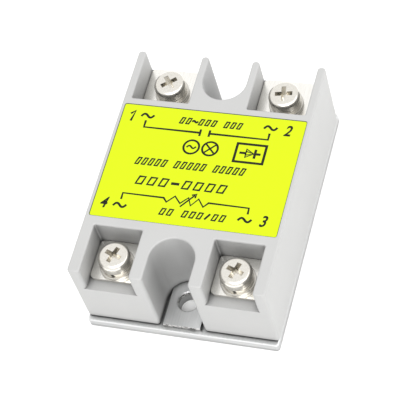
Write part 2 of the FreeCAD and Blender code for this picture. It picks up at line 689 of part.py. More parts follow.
# ================================================================ build
def build_terminals():
    """Each terminal's bar, nut, washers and screw."""
    for number, place in TERMINALS.items():
        save("terminal_bar_%d" % number, terminal_bar(*place))
        save("terminal_nut_%d" % number, terminal_nut(*place))
        save("flat_washer_%d" % number, flat_washer(*place))
        save("spring_washer_%d" % number, spring_washer(*place))
        save("terminal_screw_%d" % number, terminal_screw(*place))


def build_power_device():
    """The triac, what it sits on and the resin round it."""
    save("thermal_pad", thermal_pad())
    save("triac_tab", triac_tab())
    save("triac_case", triac_case())
    save("triac_leads", triac_leads())
    save("triac_screw", triac_screw())
    save("potting_compound", potting_compound())


def build_board():
    """The circuit board and what is soldered to it."""
    save("circuit_board", circuit_board())
    for name in ("snubber_capacitor", "timing_capacitor"):
        save(name, upright_body(UPRIGHT_PARTS[name], CAPACITOR_EDGE))
        save(name + "_leads", upright_leads(UPRIGHT_PARTS[name], BOARD_TOP))
    save("varistor", varistor_body(VARISTOR))
    save("varistor_leads", varistor_leads(VARISTOR))
    for name, part in LYING_PARTS.items():
        save(name, lying_body(part))
        save(name + "_leads", lying_leads(part))


def main():
    os.makedirs("parts", exist_ok=True)
    save("base_plate", base_plate())
    save("housing", housing())
    save("face_label", face_label())
    build_terminals()
    build_power_device()
    build_board()
    rise = SCREW_TRAVEL_TURNS * THREAD_PITCH
    print("screw rise %.2f mm, %.9f m per radian" % (rise, THREAD_PITCH / 1000 / (2 * math.pi)))
    print("hole pitch %.2f mm" % (CASE_LENGTH - 2 * MOUNT_INSET))
    for number, place in TERMINALS.items():
        print("terminal %d at %.3f, %.3f" % ((number,) + screw_place(*place)))


main()
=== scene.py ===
"""Looks of a panel-mount solid state relay: case, printed label, terminals and inner circuit.

Lengths are written in millimetres and become metres through MM.
+Z is up, +Y the load end (terminals 1 and 2), -Y the control end (3 and 4).
"""
import json
import math

import bmesh
import bpy
from mathutils import Matrix, Vector

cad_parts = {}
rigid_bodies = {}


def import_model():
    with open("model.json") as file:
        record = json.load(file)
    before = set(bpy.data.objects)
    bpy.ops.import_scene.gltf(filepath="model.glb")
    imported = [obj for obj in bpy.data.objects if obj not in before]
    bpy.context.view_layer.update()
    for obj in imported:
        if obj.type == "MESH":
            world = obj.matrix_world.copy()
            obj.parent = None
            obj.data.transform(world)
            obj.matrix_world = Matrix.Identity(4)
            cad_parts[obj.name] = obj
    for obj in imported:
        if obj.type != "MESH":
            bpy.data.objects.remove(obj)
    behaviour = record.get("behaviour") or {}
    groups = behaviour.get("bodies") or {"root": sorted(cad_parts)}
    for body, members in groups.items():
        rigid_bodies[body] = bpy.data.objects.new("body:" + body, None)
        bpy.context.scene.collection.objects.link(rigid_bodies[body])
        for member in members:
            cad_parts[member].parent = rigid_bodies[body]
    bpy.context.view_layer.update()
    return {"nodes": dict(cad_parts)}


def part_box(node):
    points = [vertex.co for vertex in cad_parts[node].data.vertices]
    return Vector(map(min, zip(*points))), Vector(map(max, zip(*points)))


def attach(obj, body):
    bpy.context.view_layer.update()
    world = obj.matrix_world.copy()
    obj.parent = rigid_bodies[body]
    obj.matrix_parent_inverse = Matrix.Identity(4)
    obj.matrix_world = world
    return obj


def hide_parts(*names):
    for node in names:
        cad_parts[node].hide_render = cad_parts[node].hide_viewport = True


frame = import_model()

MM = 0.001
TERMINALS = (1, 2, 3, 4)

# -------------------------------------------------------------- hardware sizes
HEAD_RADIUS = 3.65 * MM
HEAD_HEIGHT = 2.7 * MM
HEAD_SHOULDER = 1.0 * MM
HEAD_RIM = 0.12 * MM            # bevel of the head's lower edge
RECESS_SPAN = 4.2 * MM          # across the cross recess, tip to tip
RECESS_ARM = 1.1 * MM
RECESS_DEPTH = 1.9 * MM
THREAD_RADIUS = 2.0 * MM
THREAD_ROOT = 1.62 * MM
THREAD_PITCH = 0.7 * MM
THREAD_TURNS = 10
POINT_LENGTH = 0.5 * MM         # chamfer at the screw's tip
OVERLAP = 0.1 * MM              # by which joined shapes run into each other
WASHER_BORE = 2.15 * MM
FLAT_WASHER_RADIUS = 4.0 * MM
SPRING_WASHER_RADIUS = 3.4 * MM
SPLIT_WIDTH = 0.7 * MM
SPLIT_SLANT = math.radians(25)
SOLDER_HEIGHT = 0.7 * MM
LEAD_HALF = 0.3 * MM            # from the end of a lead's box to its wire's axis
GAP_HEIGHT = 0.35 * MM          # shadow gap between the case's foot and the plate
GAP_DEPTH = 0.8 * MM
CASE_EASE = 0.12 * MM           # edge rounding of the case
BAR_EASE = 0.07 * MM            # edge rounding of the terminal bars
INK_HEIGHT = 0.03 * MM
INK_SQUASH = 0.08               # flattens round ink lines to the height of print
DIGIT_SIZE = 3.9 * MM
DIGIT_WEIGHT = 0.09 * MM        # added round the type's outline
DIGIT_NARROWING = 0.82
TINY = 1e-6                     # metres, for comparing places in a mesh
SQUARE = 1e-7                   # metres, for edges and faces square to an axis

# -------------------------------------------------------------- reach of painted shade in materials
CREASE_REACH = 1.6 * MM
POCKET_REACH = 12 * MM
HOLE_REACH = 6 * MM
CREASE_SAMPLES = 6
LAND_FOOT = 2.45 * MM           # edges of the plate above this belong to the raised land
RECESS_TURN = {1: 38, 2: 10, 3: 72, 4: 70}     # degrees, as each screw was left

# -------------------------------------------------------------- camera and light
EYE = (118.10 * MM, -196.79 * MM, 343.96 * MM)
EYE_FORWARD = (-0.29625, 0.48300, -0.82398)
EYE_ROLL = math.radians(-20.11)
EYE_LENS = 160.29
FLOOR_GAP = 0.02 * MM           # keeps the floor just clear of the plate
ROOM_LIGHT = 1.12
LAMPS = {                       # place in metres, size in metres, watts
    "soft_key": ((0.10, -0.40, 0.78), 0.7, 4.6),
    "soft_fill": ((0.60, 0.05, 0.40), 0.7, 1.5),
}


# ============================================================== mesh helpers
def deselect():
    """Nothing selected and nothing active in edit mode."""
    if bpy.context.object and bpy.context.object.mode != "OBJECT":
        bpy.ops.object.mode_set(mode="OBJECT")
    for obj in bpy.data.objects:
        obj.select_set(False)


def only(obj):
    """This object alone is selected and active."""
    deselect()
    obj.select_set(True)
    bpy.context.view_layer.objects.active = obj
    return obj


def newest(name):
    """The object that an add operator has just made, under its own name."""
    obj = bpy.context.object
    obj.name = obj.data.name = name
    return obj


def pick(obj, kind, test):
    """In edit mode, selects the faces, edges or vertices that pass the test."""
    bpy.ops.mesh.select_mode(type=kind)
    bpy.ops.mesh.select_all(action="DESELECT")
    mesh = bmesh.from_edit_mesh(obj.data)
    for part in {"FACE": mesh.faces, "EDGE": mesh.edges, "VERT": mesh.verts}[kind]:
        if test(part):
            part.select_set(True)
    mesh.select_flush_mode()
    bmesh.update_edit_mesh(obj.data)


def edit(obj):
    """Edit mode on this object alone, with nothing selected."""
    only(obj)
    bpy.ops.object.mode_set(mode="EDIT")
    bpy.ops.mesh.select_all(action="DESELECT")


def outward(obj):
    """Merges doubled points and turns every face outwards."""
    edit(obj)
    bpy.ops.mesh.select_all(action="SELECT")
    bpy.ops.mesh.remove_doubles(threshold=TINY)
    bpy.ops.mesh.normals_make_consistent(inside=False)
    bpy.ops.object.mode_set(mode="OBJECT")


def settle(obj, angle=35):
    """Puts the object's place into its mesh and smooths it by angle."""
    only(obj)
    bpy.ops.object.transform_apply(location=True, rotation=True, scale=True)
    bpy.ops.object.shade_smooth_by_angle(angle=math.radians(angle))
    return obj


def apply(obj, kind, **settings):
    """Adds a modifier and applies it."""
    only(obj)
    modifier = obj.modifiers.new(kind.title(), kind)
    for name, value in settings.items():
        setattr(modifier, name, value)
    bpy.ops.object.modifier_apply(modifier=modifier.name)


def carve(obj, cutter):
    """Takes the cutter's shape out of the object."""
    apply(obj, "BOOLEAN", operation="DIFFERENCE", object=cutter, solver="EXACT")
    bpy.data.objects.remove(cutter)


def linked(data, name):
    """A new object in the scene with its own copy of the mesh."""
    twin = bpy.data.objects.new(name, data.copy())
    bpy.context.scene.collection.objects.link(twin)
    twin.data.name = name
    return twin


def from_section(name, points):
    """A plane whose four corners are moved to the (x, z) points of a section, left in edit mode."""
    bpy.ops.mesh.primitive_plane_add(size=1, location=(0, 0, 0))
    made = newest(name)
    edit(made)
    mesh = bmesh.from_edit_mesh(made.data)
    for vert, (x, z) in zip(sorted(mesh.verts, key=lambda v: math.atan2(v.co.y, v.co.x)), points):
        vert.co = (x, 0, z)
    bmesh.update_edit_mesh(made.data)
    return made


def join(objects, name):
    """Several objects made into one."""
    deselect()
    for obj in objects:
        obj.select_set(True)
    bpy.context.view_layer.objects.active = objects[0]
    if len(objects) > 1:
        bpy.ops.object.join()
    objects[0].name = objects[0].data.name = name
    return objects[0]


def copy(obj, name, shift, turn=0.0):
    """A copy with its own mesh, turned about the Z axis and moved."""
    twin = linked(obj.data, name)
    twin.data.transform(Matrix.Translation(Vector(shift)) @ Matrix.Rotation(turn, 4, "Z"))
    return twin


def place_on(obj, body, slot, material, *nodes):
    """Parents the piece to the body it moves with, gives it its finish and hides the nodes it
    stands for.
    """
    obj.data.materials.clear()
    obj.data.materials.append(material)
    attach(obj, body)
    if nodes:
        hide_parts(*nodes)
    return obj


def middle(node):
    """Centre of a CAD node in x and y, with the height of its underside."""
    low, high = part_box(node)
    return Vector(((low.x + high.x) / 2, (low.y + high.y) / 2, low.z))


# ============================================================== material helpers
def colour(code):
    """sRGB hex to the linear values that a shader takes."""
    parts = [int(code[i:i + 2], 16) / 255 for i in (1, 3, 5)]
    return [c / 12.92 if c <= 0.04045 else ((c + 0.055) / 1.055) ** 2.4 for c in parts] + [1.0]


def add(tree, kind, settings=None, links=None):
    """One node with its settings, and its inputs linked or set by name or number."""
    node = tree.nodes.new("ShaderNode" + kind)
    for name, value in (settings or {}).items():
        setattr(node, name, value)
    for key, value in (links or {}).items():
        if isinstance(value, bpy.types.NodeSocket):
            tree.links.new(value, node.inputs[key])
        else:
            node.inputs[key].default_value = value
    return node


def noise(tree, place, grain, detail, **more):
    """Noise with spots about `grain` across."""
    links = {"Vector": place, "Scale": 1 / grain, "Detail": detail, **more}
    return add(tree, "TexNoise", {}, links).outputs["Fac"]


def stretched(tree, place, scale):
    """Coordinates scaled on each axis: a small number draws the pattern out along it."""
    return add(tree, "Mapping", {}, {"Vector": place, "Scale": scale}).outputs["Vector"]


def mixed(tree, amount, first, second, blend="MIX"):
    """Two colours, given as sockets or hex codes, mixed by the amount."""
    first, second = (colour(c) if isinstance(c, str) else c for c in (first, second))
    links = {"Fac": amount, "Color1": first, "Color2": second}
    return add(tree, "MixRGB", {"blend_type": blend}, links).outputs["Color"]


def ramp(tree, value, low, high, start=0.0, end=1.0):
    """The value's range from start to end, carried over to low to high."""
    links = {"Value": value, "From Min": start, "From Max": end, "To Min": low, "To Max": high}
    return add(tree, "MapRange", {}, links).outputs["Result"]


def maths(tree, operation, *values):
    """One sum on sockets or numbers."""
    return add(tree, "Math", {"operation": operation}, dict(enumerate(values))).outputs[0]


def relief(tree, height, strength, depth):
    """Bump of the given depth."""
    links = {"Height": height, "Strength": strength, "Distance": depth}
    return add(tree, "Bump", {}, links).outputs["Normal"]


def finish_of(name):
    """A new material: its node tree, its shader and the Object coordinates."""
    material = bpy.data.materials.new(name)
    material.use_nodes = True
    tree = material.node_tree
    shader = tree.nodes["Principled BSDF"]
    place = tree.nodes.new("ShaderNodeTexCoord").outputs["Object"]
    return material, tree, shader, place


def shade(tree, shader, **inputs):
    """Sets or links the shader's inputs; an underscore stands for a space in a name."""
    for name, value in inputs.items():
        socket = shader.inputs[name.replace("_", " ")]
        if isinstance(value, bpy.types.NodeSocket):
            tree.links.new(value, socket)
        else:
            socket.default_value = value


def painted_shade(tree, tint, reach, darkest, own=False):
    """Painted shade: the tint darkened where surfaces come within `reach`, as shade falls in
    creases and hollows; `own` counts the same piece only.
    """
    settings = {"samples": CREASE_SAMPLES, "only_local": own}
    # painted shade: ambient occlusion darkens the colour itself
    open_sky = add(tree, "AmbientOcclusion", settings, {"Distance": reach}).outputs["AO"]
    fade = ramp(tree, open_sky, darkest, 1.0, 0.2, 0.95)
    grey = add(tree, "CombineColor", {}, dict.fromkeys(("Red", "Green", "Blue"), fade))
    return mixed(tree, 1.0, tint, grey.outputs["Color"], "MULTIPLY")


# ============================================================== materials
def moulded_pbt():
    """Injection-moulded PBT, spark-eroded tool: an even satin with a fine dull grain of 0.2 mm,
    with painted shade in its pockets and creases.
    """
    material, tree, shader, place = finish_of("case_pbt")
    cloud = noise(tree, place, 9 * MM, 3)
    tint = mixed(tree, cloud, "#adadac", "#a7a7a6")
    grain = noise(tree, place, 0.22 * MM, 2)
    # painted shade: the tint is darkened in the case's own pockets and notch, then in creases where
    # other pieces come close
    tint = painted_shade(tree, tint, POCKET_REACH, 0.56, own=True)
    shade(tree, shader, IOR=1.55, Base_Color=painted_shade(tree, tint, CREASE_REACH, 0.15),
          Roughness=ramp(tree, grain, 0.42, 0.54), Normal=relief(tree, grain, 0.10, 0.02 * MM))
    return material


def printed_polyester():
    """Polyester film flooded with fluorescent yellow ink: vivid, slightly glossy, faint peel."""
    material, tree, shader, place = finish_of("label_polyester")
    cloud = noise(tree, place, 14 * MM, 2)
    peel = noise(tree, place, 0.5 * MM, 1)
    shade(tree, shader, IOR=1.5, Specular_IOR_Level=0.25,
          Base_Color=mixed(tree, cloud, "#bed101", "#bace01"),
          Roughness=ramp(tree, cloud, 0.36, 0.44), Normal=relief(tree, peel, 0.05, 0.01 * MM))
    return material


def screen_ink():
    """Screen-printed ink: near black, brownish where it is thin over the yellow, matt."""
    material, tree, shader, place = finish_of("screen_ink")
    mesh_marks = noise(tree, place, 0.35 * MM, 2)
    shade(tree, shader, IOR=1.5, Specular_IOR_Level=0.25,
          Base_Color=mixed(tree, mesh_marks, "#0f0d06", "#1d1a0a"),
          Roughness=ramp(tree, mesh_marks, 0.45, 0.65))
    return material


def rolled_aluminium():
    """Aluminium strip: lines along Y where rolled, layered edges, torn edges on the raised land,
    with painted shade in its hole and creases.
    """
    material, tree, shader, place = finish_of("plate_aluminium_rolled")
    drawn = stretched(tree, place, (1, 0.03, 1))
    squashed = stretched(tree, place, (0.04, 0.04, 1))
    normal = add(tree, "NewGeometry").outputs["Normal"]
    level = maths(tree, "ABSOLUTE", add(tree, "SeparateXYZ", {}, {"Vector": normal}).outputs["Z"])
    height = add(tree, "SeparateXYZ", {}, {"Vector": place}).outputs["Z"]
    on_land = maths(tree, "GREATER_THAN", height, LAND_FOOT)
    lines = noise(tree, drawn, 0.25 * MM, 3)
    torn = noise(tree, place, 0.5 * MM, 5, Roughness=0.7)
    layers = noise(tree, squashed, 0.7 * MM, 3)
    tear = mixed(tree, ramp(tree, torn, 0.0, 1.0, 0.44, 0.54), "#5a5956", "#efeeec")
    edge = mixed(tree, on_land, mixed(tree, layers, "#d6d6d5", "#a9aaab"), tear)
    tint = mixed(tree, level, edge, mixed(tree, lines, "#f0f0f0", "#d9dbdb"))
    # painted shade: the tint is darkened in the plate's own hole and hollows, then in creases where
    # other pieces come close
    tint = painted_shade(tree, tint, HOLE_REACH, 0.6, own=True)
    marks = mixed(tree, level, edge, lines)
    shade(tree, shader, Metallic=1.0, Base_Color=painted_shade(tree, tint, CREASE_REACH, 0.15),
          Roughness=ramp(tree, level, 0.5, 0.36), Normal=relief(tree, marks, 0.5, 0.06 * MM))
    return material


def metal(name, light, dark, roughness, grain, stretch=(1, 1, 1), strength=0.12):
    """Shared recipe of the plated and bare metals: tone, gloss and relief from one pattern."""
    material, tree, shader, place = finish_of(name)
    marks = noise(tree, stretched(tree, place, stretch), grain * MM, 3)
    shade(tree, shader, Metallic=1.0, Base_Color=mixed(tree, marks, light, dark),
          Roughness=ramp(tree, marks, roughness, roughness + 0.1),
          Normal=relief(tree, marks, strength, 0.02 * MM))
    return material


def nickel_plated_brass():
    """Pressed brass strip, bright nickel plated: faint warm cast and long drawn lines."""
    return metal("bar_nickel_plate", "#f8f7f3", "#ebe8e1", 0.18, 0.35, (1, 0.08, 1), 0.08)


def nickel_plated_steel():
    """Cold-headed steel screw, barrel nickel plated: bright, with tumbling dents 0.4 mm across."""
    return metal("screw_nickel_plate", "#e9e6df", "#d3cfc6", 0.20, 0.4, strength=0.20)


def stamped_washer_steel():
    """Stamped spring steel, nickel plated: a little greyer and softer than the screws."""
    return metal("washer_nickel_plate", "#dedbd4", "#c4c0b8", 0.27, 0.3, strength=0.15)


def zinc_plated_steel():
    """Hot-pressed nut, zinc plated: cool grey, dull sheen."""
    return metal("nut_zinc_plate", "#c9ccce", "#aeb1b4", 0.38, 0.25)


def fixing_screw_zinc():
    """Small machine screw, zinc plated: cool grey with a blue cast."""
    return metal("fixing_zinc_plate", "#c6cbd1", "#a9afb7", 0.32, 0.25)


def tinned_copper_tab():
    """Stamped copper tab, tinned: soft grey with copper showing through."""
    return metal("tab_tinned_copper", "#d6c4b2", "#c08a63", 0.36, 1.6)


def tinned_wire():
    """Tinned copper wire, drawn: soft bright grey."""
    return metal("lead_tinned_copper", "#d4d4d1", "#bcbcb8", 0.30, 0.2)


def solder_tin():
    """Tin solder that froze from liquid: bright, smooth, with faint frosting."""
    return metal("solder_joint_tin", "#d9dad8", "#bfc1c0", 0.18, 0.5)


def satin(name, light, dark, roughness, grain, strength=0.1, ior=1.5, coat=0.0):
    """Shared recipe of the moulded, dipped and cast pieces: a broken tone under an even gloss."""
    material, tree, shader, place = finish_of(name)
    marks = noise(tree, place, grain * MM, 3)
    shade(tree, shader, IOR=ior, Coat_Weight=coat, Base_Color=mixed(tree, marks, light, dark),
          Roughness=ramp(tree, marks, roughness, roughness + 0.1),
          Normal=relief(tree, marks, strength, 0.03 * MM))
    return material


def silicone_pad():
    """Glass-cloth silicone pad, calendered: matt grey."""
    return satin("pad_silicone_sheet", "#a3a9ae", "#8f959b", 0.70, 0.4, 0.3, 1.43)


def epoxy_moulding():
    """Epoxy moulding compound, transfer moulded: dull black with a filler sparkle."""
    return satin("device_epoxy_moulded", "#1b1b1d", "#232325", 0.55, 0.12, 0.2, 1.55)


def cast_resin():
    """Filled potting resin, poured and cured: dark, glossy, with slow ripples."""
    return satin("potting_resin_cast", "#19191b", "#212123", 0.22, 4.0, 0.5, 1.55, 0.3)


def moulded_film_box():
    """Flame-retardant PBT capacitor box, moulded: yellow, smooth."""
    return satin("capacitor_box_pbt", "#cda51f", "#c39a19", 0.34, 0.8, 0.08)


def moulded_film_box_red():
    """Epoxy-sealed capacitor box, moulded: brick red, smooth."""
    return satin("capacitor_box_red_pbt", "#9e2419", "#931f15", 0.34, 0.8, 0.08)


def dipped_varistor():
    """Epoxy powder dip over a zinc oxide disc: blue, thick, gently lumpy."""
    return satin("varistor_dip", "#1f3f92", "#1a3782", 0.30, 1.4, 0.6, 1.5, 0.3)


def masked_laminate():
    """Glass-epoxy board under green solder mask, with raised tracks as lighter lines."""
    material, tree, shader, place = finish_of("board_solder_mask")
    cells = add(tree, "TexBrick", {"offset": 0.5, "squash": 1.0}, {
        "Vector": place, "Scale": 1 / (2.54 * MM), "Mortar Size": 0.16, "Mortar Smooth": 0.1,
        "Brick Width": 4.0, "Row Height": 1.0,
        "Color1": colour("#1c5a30"), "Color2": colour("#1e6034"), "Mortar": colour("#2f7d49")})
    weave = add(tree, "TexNoise", {}, {"Vector": place, "Scale": 1 / (0.5 * MM), "Detail": 2})
    tint = mixed(tree, 0.3, cells.outputs["Color"], weave.outputs["Color"], "MULTIPLY")
    shade(tree, shader, IOR=1.5, Roughness=0.33, Base_Color=tint,
          Normal=relief(tree, cells.outputs["Fac"], 0.4, 0.035 * MM))
    return material


def banded_lacquer(name, ground, bands, roughness, centre_x, pitch):
    """Sprayed lacquer with printed colour bands round the body, set along X."""
    material, tree, shader, place = finish_of(name)
    along = add(tree, "SeparateXYZ", {}, {"Vector": place}).outputs["X"]
    marks = add(tree, "TexNoise", {}, {"Vector": place, "Scale": 1 / (0.4 * MM), "Detail": 2})
    tint = mixed(tree, 0.12, ground, marks.outputs["Color"], "MULTIPLY")
    for number, band in enumerate(bands):
        at = centre_x + (number - (len(bands) - 1) / 2) * pitch
        away = maths(tree, "ABSOLUTE", maths(tree, "SUBTRACT", along, at))
        tint = mixed(tree, maths(tree, "LESS_THAN", away, 0.25 * pitch), tint, band)
    shade(tree, shader, IOR=1.5, Roughness=roughness, Base_Color=tint,
          Normal=relief(tree, marks.outputs["Fac"], 0.1, 0.02 * MM))
    return material


def matt_floor():
    """Studio paper: near white and matt, but clear from below and close under the plate."""
    material, tree, shader, place = finish_of("studio_paper")
    fibre = noise(tree, place, 1.5 * MM, 3)
    close = maths(tree, "LESS_THAN", add(tree, "LightPath").outputs["Ray Length"], 0.3 * MM)
    clear = maths(tree, "MAXIMUM", add(tree, "NewGeometry").outputs["Backfacing"], close)
    either = add(tree, "MixShader", {}, {
        0: clear, 1: shader.outputs["BSDF"], 2: add(tree, "BsdfTransparent").outputs["BSDF"]})
    shade(tree, shader, Roughness=0.9, Specular_IOR_Level=0.1,
          Base_Color=mixed(tree, fibre, "#fbfbfa", "#f8f8f8"))
    tree.links.new(either.outputs["Shader"], tree.nodes["Material Output"].inputs["Surface"])
    return material


# ============================================================== terminal hardware
def cross_recess(top):
    """Cutter for the cross recess: two tapered arms, narrower at the bottom."""
    arms = []
    for along in (0, 1):
        bpy.ops.mesh.primitive_cube_add(size=1, location=(0, 0, top - RECESS_DEPTH / 2 + 0.1 * MM))
        arm = newest("recess_arm_%d" % along)
        reach = (RECESS_SPAN, RECESS_ARM)
        arm.scale = (reach[along], reach[1 - along], RECESS_DEPTH + 0.2 * MM)
        settle(arm)
        edit(arm)
        pick(arm, "VERT", lambda v: v.co.z < top - RECESS_DEPTH / 2)
        bpy.ops.transform.resize(value=(0.5, 0.7, 1) if along == 0 else (0.7, 0.5, 1))
        bpy.ops.object.mode_set(mode="OBJECT")
        arms.append(arm)
    apply(arms[0], "BOOLEAN", operation="UNION", object=arms[1], solver="EXACT")
    bpy.data.objects.remove(arms[1])
    return arms[0]


def screw_head(low, high):
    """Pan head with a rounded shoulder and a cross recess."""
    bpy.ops.mesh.primitive_cylinder_add(vertices=64, radius=HEAD_RADIUS, depth=high - low,
                                        location=(0, 0, (low + high) / 2))
    head = newest("screw_head")
    settle(head)
    edit(head)
    pick(head, "EDGE", lambda e: all(v.co.z > high - TINY for v in e.verts))
    bpy.ops.mesh.bevel(offset=HEAD_SHOULDER, segments=7, profile=0.5)
    pick(head, "EDGE", lambda e: all(v.co.z < low + TINY for v in e.verts))
    bpy.ops.mesh.bevel(offset=HEAD_RIM, segments=2)
    bpy.ops.object.mode_set(mode="OBJECT")
    carve(head, cross_recess(high))
    return head


def screw_shank(tip, seat):
    """Core of the threaded part, with a chamfered point."""
    bpy.ops.mesh.primitive_cylinder_add(vertices=48, radius=THREAD_ROOT, depth=seat - tip,
                                        location=(0, 0, (tip + seat) / 2))
    shank = newest("screw_shank")
    settle(shank)
    edit(shank)
    pick(shank, "EDGE", lambda e: all(v.co.z < tip + TINY for v in e.verts))
    bpy.ops.mesh.bevel(offset=POINT_LENGTH, segments=2, profile=0.6)
    bpy.ops.object.mode_set(mode="OBJECT")
    return shank


def screw_thread(low):
    """One rolled thread: a section wound round the core, closed at both ends."""
    inner = THREAD_ROOT - 0.05 * MM
    flank = ((inner, 0.02), (THREAD_RADIUS, 0.29), (THREAD_RADIUS, 0.41), (inner, 0.68))
    thread = from_section("screw_thread", [(x, low + z * MM) for x, z in flank])
    bpy.ops.object.mode_set(mode="OBJECT")
    apply(thread, "SCREW", axis="Z", angle=2 * math.pi, steps=32, render_steps=32,
          iterations=THREAD_TURNS, screw_offset=THREAD_PITCH, use_merge_vertices=True)
    return thread


def terminal_screw():
    """Head, core and thread as one screw on the Z axis, at its own height."""
    low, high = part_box("terminal_screw_1")
    seat = high.z - HEAD_HEIGHT
    parts = [screw_head(seat, high.z), screw_shank(low.z, seat + OVERLAP),
             screw_thread(low.z + POINT_LENGTH)]
    screw = join(parts, "terminal_screw_pattern")
    outward(screw)
    return settle(screw, 30)


def ring(node, outer, name, rounding):
    """Ring spun from its section, with rounded edges and nothing left inside it."""
    low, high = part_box(node)
    made = from_section(name, ((WASHER_BORE, low.z), (outer, low.z),
                               (outer, high.z), (WASHER_BORE, high.z)))
    pick(made, "VERT", lambda v: True)
    bpy.ops.mesh.bevel(offset=rounding, segments=3, affect="VERTICES")
    bpy.ops.mesh.select_all(action="SELECT")
    bpy.ops.mesh.spin(steps=72, angle=2 * math.pi, center=(0, 0, 0), axis=(0, 0, 1))
    bpy.ops.mesh.select_all(action="SELECT")
    bpy.ops.mesh.remove_doubles(threshold=TINY)
    pick(made, "FACE", lambda f: abs(f.normal.y) > 0.999
         and abs(f.calc_center_median().y) < SQUARE)
    bpy.ops.mesh.delete(type="ONLY_FACE")
    outward(made)
    return made


def flat_washer():
    """Stamped flat washer."""
    return settle(ring("flat_washer_1", FLAT_WASHER_RADIUS, "flat_washer_pattern", 0.12 * MM), 30)


def spring_washer():
    """Split lock washer with a slanted gap that faces +Y."""
    washer = ring("spring_washer_1", SPRING_WASHER_RADIUS, "spring_washer_pattern", 0.08 * MM)
    low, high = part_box("spring_washer_1")
    bpy.ops.mesh.primitive_cube_add(size=1, location=(0, 3 * MM, (low.z + high.z) / 2),
                                    rotation=(0, SPLIT_SLANT, 0))
    gap = newest("washer_gap")
    gap.scale = (SPLIT_WIDTH, 6 * MM, 4 * MM)
    settle(gap)
    carve(washer, gap)
    return settle(washer, 30)


def smoothed_copy(node, name, width, cutter=None):
    """The node's own shape less the cutter, with its sharp edges rounded by the width."""
    piece = linked(frame["nodes"][node].data, name)
    outward(piece)
    if cutter:
        carve(piece, cutter)
    edit(piece)
    bpy.ops.mesh.select_all(action="SELECT")
    bpy.ops.mesh.dissolve_limited(angle_limit=math.radians(1))
    bpy.ops.object.mode_set(mode="OBJECT")
    apply(piece, "BEVEL", width=width, segments=2, limit_method="ANGLE",
          angle_limit=math.radians(40))
    settle(piece, 30)
    apply(piece, "WEIGHTED_NORMAL", keep_sharp=True)
    return piece


def shadow_gap():
    """Cutter for the gap round the case's foot: a thin slab without its middle."""
    low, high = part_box("housing")
    reach = {"gap_slab": (1.0 * MM, GAP_HEIGHT), "gap_core": (-GAP_DEPTH, 3 * GAP_HEIGHT)}
    slabs = []
    for name, (grow, tall) in reach.items():
        bpy.ops.mesh.primitive_cube_add(size=1, location=(0, 0, low.z))
        slab = newest(name)
        slab.scale = (high.x - low.x + 2 * grow, high.y - low.y + 2 * grow, 2 * tall)
        slabs.append(settle(slab))
    carve(*slabs)
    return slabs[0]


def case_shell(material):
    """The moulded case with its edges eased, and a shadow gap where it meets the plate."""
    shell = smoothed_copy("housing", "case_moulding", CASE_EASE, shadow_gap())
    place_on(shell, "relay_body", "case_plastic", material, "housing")


def fit_terminals(finish):
    """Screw, washers and bar of each terminal, on the bodies that carry them."""
    screw, flat, split = terminal_screw(), flat_washer(), spring_washer()
    for n in TERMINALS:
        at = middle("terminal_screw_%d" % n)
        shift = (at.x, at.y, 0)
        outwards = 0 if at.y > 0 else math.pi
        place_on(copy(screw, "screw_%d_cross_head" % n, shift, math.radians(RECESS_TURN[n])),
                 "screw_%d" % n, "plated_screw", finish["screw"], "terminal_screw_%d" % n)
        place_on(copy(flat, "clamp_%d_flat_washer" % n, shift),
                 "clamp_%d" % n, "plated_washer", finish["washer"], "flat_washer_%d" % n)
        place_on(copy(split, "clamp_%d_spring_washer" % n, shift, outwards),
                 "clamp_%d" % n, "plated_washer", finish["washer"], "spring_washer_%d" % n)
        place_on(smoothed_copy("terminal_bar_%d" % n, "bar_%d_pressed" % n, BAR_EASE),
                 "relay_body", "plated_bar", finish["bar"], "terminal_bar_%d" % n)
    for pattern in (screw, flat, split):
        bpy.data.objects.remove(pattern)


# ============================================================== label print, places in millimetres
def stroke(points, width, closed=False, smooth=False):
    """An ink line through the points, flattened to the height of printed ink."""
    bpy.ops.curve.primitive_bezier_circle_add(radius=1)
    line = bpy.context.object
    line.data.splines.clear()
    spline = line.data.splines.new("NURBS" if smooth else "POLY")
    spline.points.add(len(points) - 1)
    for point, (x, y) in zip(spline.points, points):
        point.co = (x * MM, y * MM, 0, 1)
    if smooth:
        spline.order_u, spline.use_endpoint_u = 3, True
    spline.use_cyclic_u = closed
    line.data.bevel_depth = width * MM / 2
    line.data.bevel_resolution = 1
    line.data.use_fill_caps = not closed
    only(line)
    bpy.ops.object.convert(target="MESH")
    return bpy.context.object


def circle(x, y, radius, width):
    """An ink ring."""
    turns = [2 * math.pi * k / 28 for k in range(28)]
    return stroke([(x + radius * math.cos(t), y + radius * math.sin(t)) for t in turns],
                  width, closed=True)


def slanted_box(x, y, wide, tall, lean, width):
    """A leaning open box that stands for a printed sign."""
    left, right, low, high = x - wide / 2, x + wide / 2, y - tall / 2, y + tall / 2
    corners = [(left, low), (right, low), (right + lean, high), (left + lean, high)]
    return stroke(corners, width, closed=True)


def wave(x, y, wide, width=0.55):
    """The sign for alternating current."""
    rise = 0.16 * wide
    half = ((-0.5, -0.6), (-0.36, 1.0), (-0.12, 0.9))
    shape = half + tuple((-a, -b) for a, b in reversed(half))
    return stroke([(x + a * wide, y + b * rise) for a, b in shape], width, smooth=True)


def digit(text, x, y):
    """A terminal number in plain, leaning, slightly narrowed type, as a thin mesh."""
    bpy.ops.object.text_add(location=(0, 0, 0))
    sign = bpy.context.object
    sign.data.body = text
    sign.data.align_x, sign.data.align_y = "CENTER", "CENTER"
    sign.data.size = DIGIT_SIZE
    sign.data.shear = 0.25
    sign.data.extrude = INK_HEIGHT / 2
    sign.data.offset = DIGIT_WEIGHT
    only(sign)
    bpy.ops.object.convert(target="MESH")
    sign = bpy.context.object
    sign.location, sign.scale = (x * MM, y * MM, 0), (DIGIT_NARROWING, 1, 1)
    return settle(sign)


